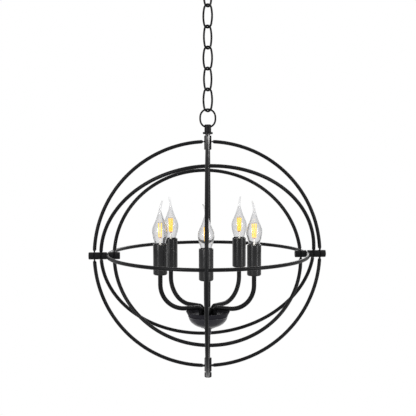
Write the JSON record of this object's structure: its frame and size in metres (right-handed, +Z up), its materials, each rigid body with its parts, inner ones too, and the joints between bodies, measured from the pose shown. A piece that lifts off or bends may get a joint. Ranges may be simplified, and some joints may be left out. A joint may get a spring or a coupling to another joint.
{
  "type": "orb chandelier",
  "caption": "Open orb of nested round bar rings hung on a chain, with curved arms that carry candle sleeves and flame shaped bulbs.",
  "frame": {"origin": "on the ceiling, at the centre of the strap's upper face", "axes": "+Z up, the viewing side faces -Y, the side hubs of the orb lie along X"},
  "size_m": [0.526, 0.5352, 0.9224],
  "materials": {
    "black_satin": "satin black paint on steel",
    "sleeve_black": "satin black paint on the candle sleeves",
    "cup_charcoal": "satin charcoal black paint on the pressed cup and plate",
    "zinc": "zinc plated steel",
    "phenolic": "dark moulded insulator",
    "brass_contact": "plain brass",
    "nickel_cap": "nickel plated screw cap",
    "clear_glass": "clear blown glass",
    "filament": "coated light emitting filaments on a glass mount"
  },
  "bodies": {
    "ceiling_fitting": {"ceiling_strap": "zinc", "ceiling_nipple": "zinc", "nipple_nuts": "zinc", "canopy": "black_satin", "canopy_loop": "black_satin"},
    "link_1": {"chain_link_1": "black_satin"},
    "link_2": {"chain_link_2": "black_satin"},
    "link_3": {"chain_link_3": "black_satin"},
    "link_4": {"chain_link_4": "black_satin"},
    "link_5": {"chain_link_5": "black_satin"},
    "link_6": {"chain_link_6": "black_satin"},
    "loop": {"loop_ring": "black_satin"},
    "fixture": {"loop_collar": "black_satin", "stem_tube": "black_satin", "top_spacer": "black_satin", "top_nut": "black_satin", "main_ring": "black_satin", "side_axles": "black_satin", "side_spacers": "black_satin", "side_nuts": "black_satin", "bottom_axle": "black_satin", "bottom_spacer": "black_satin", "bottom_nut": "black_satin", "stem_nut": "black_satin", "arm_plate": "cup_charcoal", "wiring_cup": "cup_charcoal", "finial": "cup_charcoal", "arm_nuts": "zinc", "lamp_holders": "phenolic", "screw_shells": "brass_contact", "contact_tongues": "brass_contact", "arm_1": "black_satin", "arm_2": "black_satin", "arm_3": "black_satin", "arm_4": "black_satin", "arm_5": "black_satin", "candle_sleeve_1": "sleeve_black", "candle_sleeve_2": "sleeve_black", "candle_sleeve_3": "sleeve_black", "candle_sleeve_4": "sleeve_black", "candle_sleeve_5": "sleeve_black"},
    "cross_ring": {"cross_ring": "black_satin"},
    "front_ring": {"front_ring": "black_satin"},
    "level_ring": {"level_ring": "black_satin"},
    "back_ring": {"back_ring": "black_satin"},
    "bulb_1": {"bulb_cap_1": "nickel_cap", "bulb_glass_1": "clear_glass", "bulb_filament_1": "filament"},
    "bulb_2": {"bulb_cap_2": "nickel_cap", "bulb_glass_2": "clear_glass", "bulb_filament_2": "filament"},
    "bulb_3": {"bulb_cap_3": "nickel_cap", "bulb_glass_3": "clear_glass", "bulb_filament_3": "filament"},
    "bulb_4": {"bulb_cap_4": "nickel_cap", "bulb_glass_4": "clear_glass", "bulb_filament_4": "filament"},
    "bulb_5": {"bulb_cap_5": "nickel_cap", "bulb_glass_5": "clear_glass", "bulb_filament_5": "filament"}
  },
  "joints": [
    {"name": "link_1_swing", "type": "hinge", "parent": "ceiling_fitting", "child": "link_1", "pos_m": [0, 0, -0.059], "axis": [0.7071, -0.7071, 0], "range_deg": [-20, 20]},
    {"name": "link_2_swing", "type": "hinge", "parent": "link_1", "child": "link_2", "pos_m": [0, 0, -0.1039], "axis": [0.7071, 0.7071, 0], "range_deg": [-20, 20]},
    {"name": "link_3_swing", "type": "hinge", "parent": "link_2", "child": "link_3", "pos_m": [0, 0, -0.1491], "axis": [0.7071, -0.7071, 0], "range_deg": [-20, 20]},
    {"name": "link_4_swing", "type": "hinge", "parent": "link_3", "child": "link_4", "pos_m": [0, 0, -0.1943], "axis": [0.7071, 0.7071, 0], "range_deg": [-20, 20]},
    {"name": "link_5_swing", "type": "hinge", "parent": "link_4", "child": "link_5", "pos_m": [0, 0, -0.2395], "axis": [0.7071, -0.7071, 0], "range_deg": [-20, 20]},
    {"name": "link_6_swing", "type": "hinge", "parent": "link_5", "child": "link_6", "pos_m": [0, 0, -0.2847], "axis": [0.7071, 0.7071, 0], "range_deg": [-20, 20]},
    {"name": "loop_swing", "type": "hinge", "parent": "link_6", "child": "loop", "pos_m": [0, 0, -0.3299], "axis": [0.7071, -0.7071, 0], "range_deg": [-15, 15]},
    {"name": "fixture_swing", "type": "hinge", "parent": "loop", "child": "fixture", "pos_m": [0, 0, -0.3647], "axis": [1, 0, 0], "range_deg": [-20, 20]},
    {"name": "cross_ring_turn", "type": "hinge", "parent": "fixture", "child": "cross_ring", "pos_m": [0, 0, -0.6458], "axis": [0, 0, 1], "range_deg": [-81, 90]},
    {"name": "front_ring_tilt", "type": "hinge", "parent": "fixture", "child": "front_ring", "pos_m": [0, 0, -0.6458], "axis": [1, 0, 0], "range_deg": [-27, 146]},
    {"name": "level_ring_tilt", "type": "hinge", "parent": "fixture", "child": "level_ring", "pos_m": [0, 0, -0.6458], "axis": [1, 0, 0], "range_deg": [-87, 87]},
    {"name": "back_ring_tilt", "type": "hinge", "parent": "fixture", "child": "back_ring", "pos_m": [0, 0, -0.6458], "axis": [1, 0, 0], "range_deg": [-148, 25]},
    {"name": "bulb_1_screw", "type": "hinge", "parent": "fixture", "child": "bulb_1", "pos_m": [-0.10621, -0.02452, -0.6466], "axis": [0, 0, 1], "range_deg": [0, 1080]},
    {"name": "bulb_2_screw", "type": "hinge", "parent": "fixture", "child": "bulb_2", "pos_m": [-0.07972, 0.07434, -0.6466], "axis": [0, 0, 1], "range_deg": [0, 1080]},
    {"name": "bulb_3_screw", "type": "hinge", "parent": "fixture", "child": "bulb_3", "pos_m": [-0.01139, -0.1084, -0.6466], "axis": [0, 0, 1], "range_deg": [0, 1080]},
    {"name": "bulb_4_screw", "type": "hinge", "parent": "fixture", "child": "bulb_4", "pos_m": [0.07708, 0.07708, -0.6466], "axis": [0, 0, 1], "range_deg": [0, 1080]},
    {"name": "bulb_5_screw", "type": "hinge", "parent": "fixture", "child": "bulb_5", "pos_m": [0.09712, -0.04949, -0.6466], "axis": [0, 0, 1], "range_deg": [0, 1080]}
  ]
}
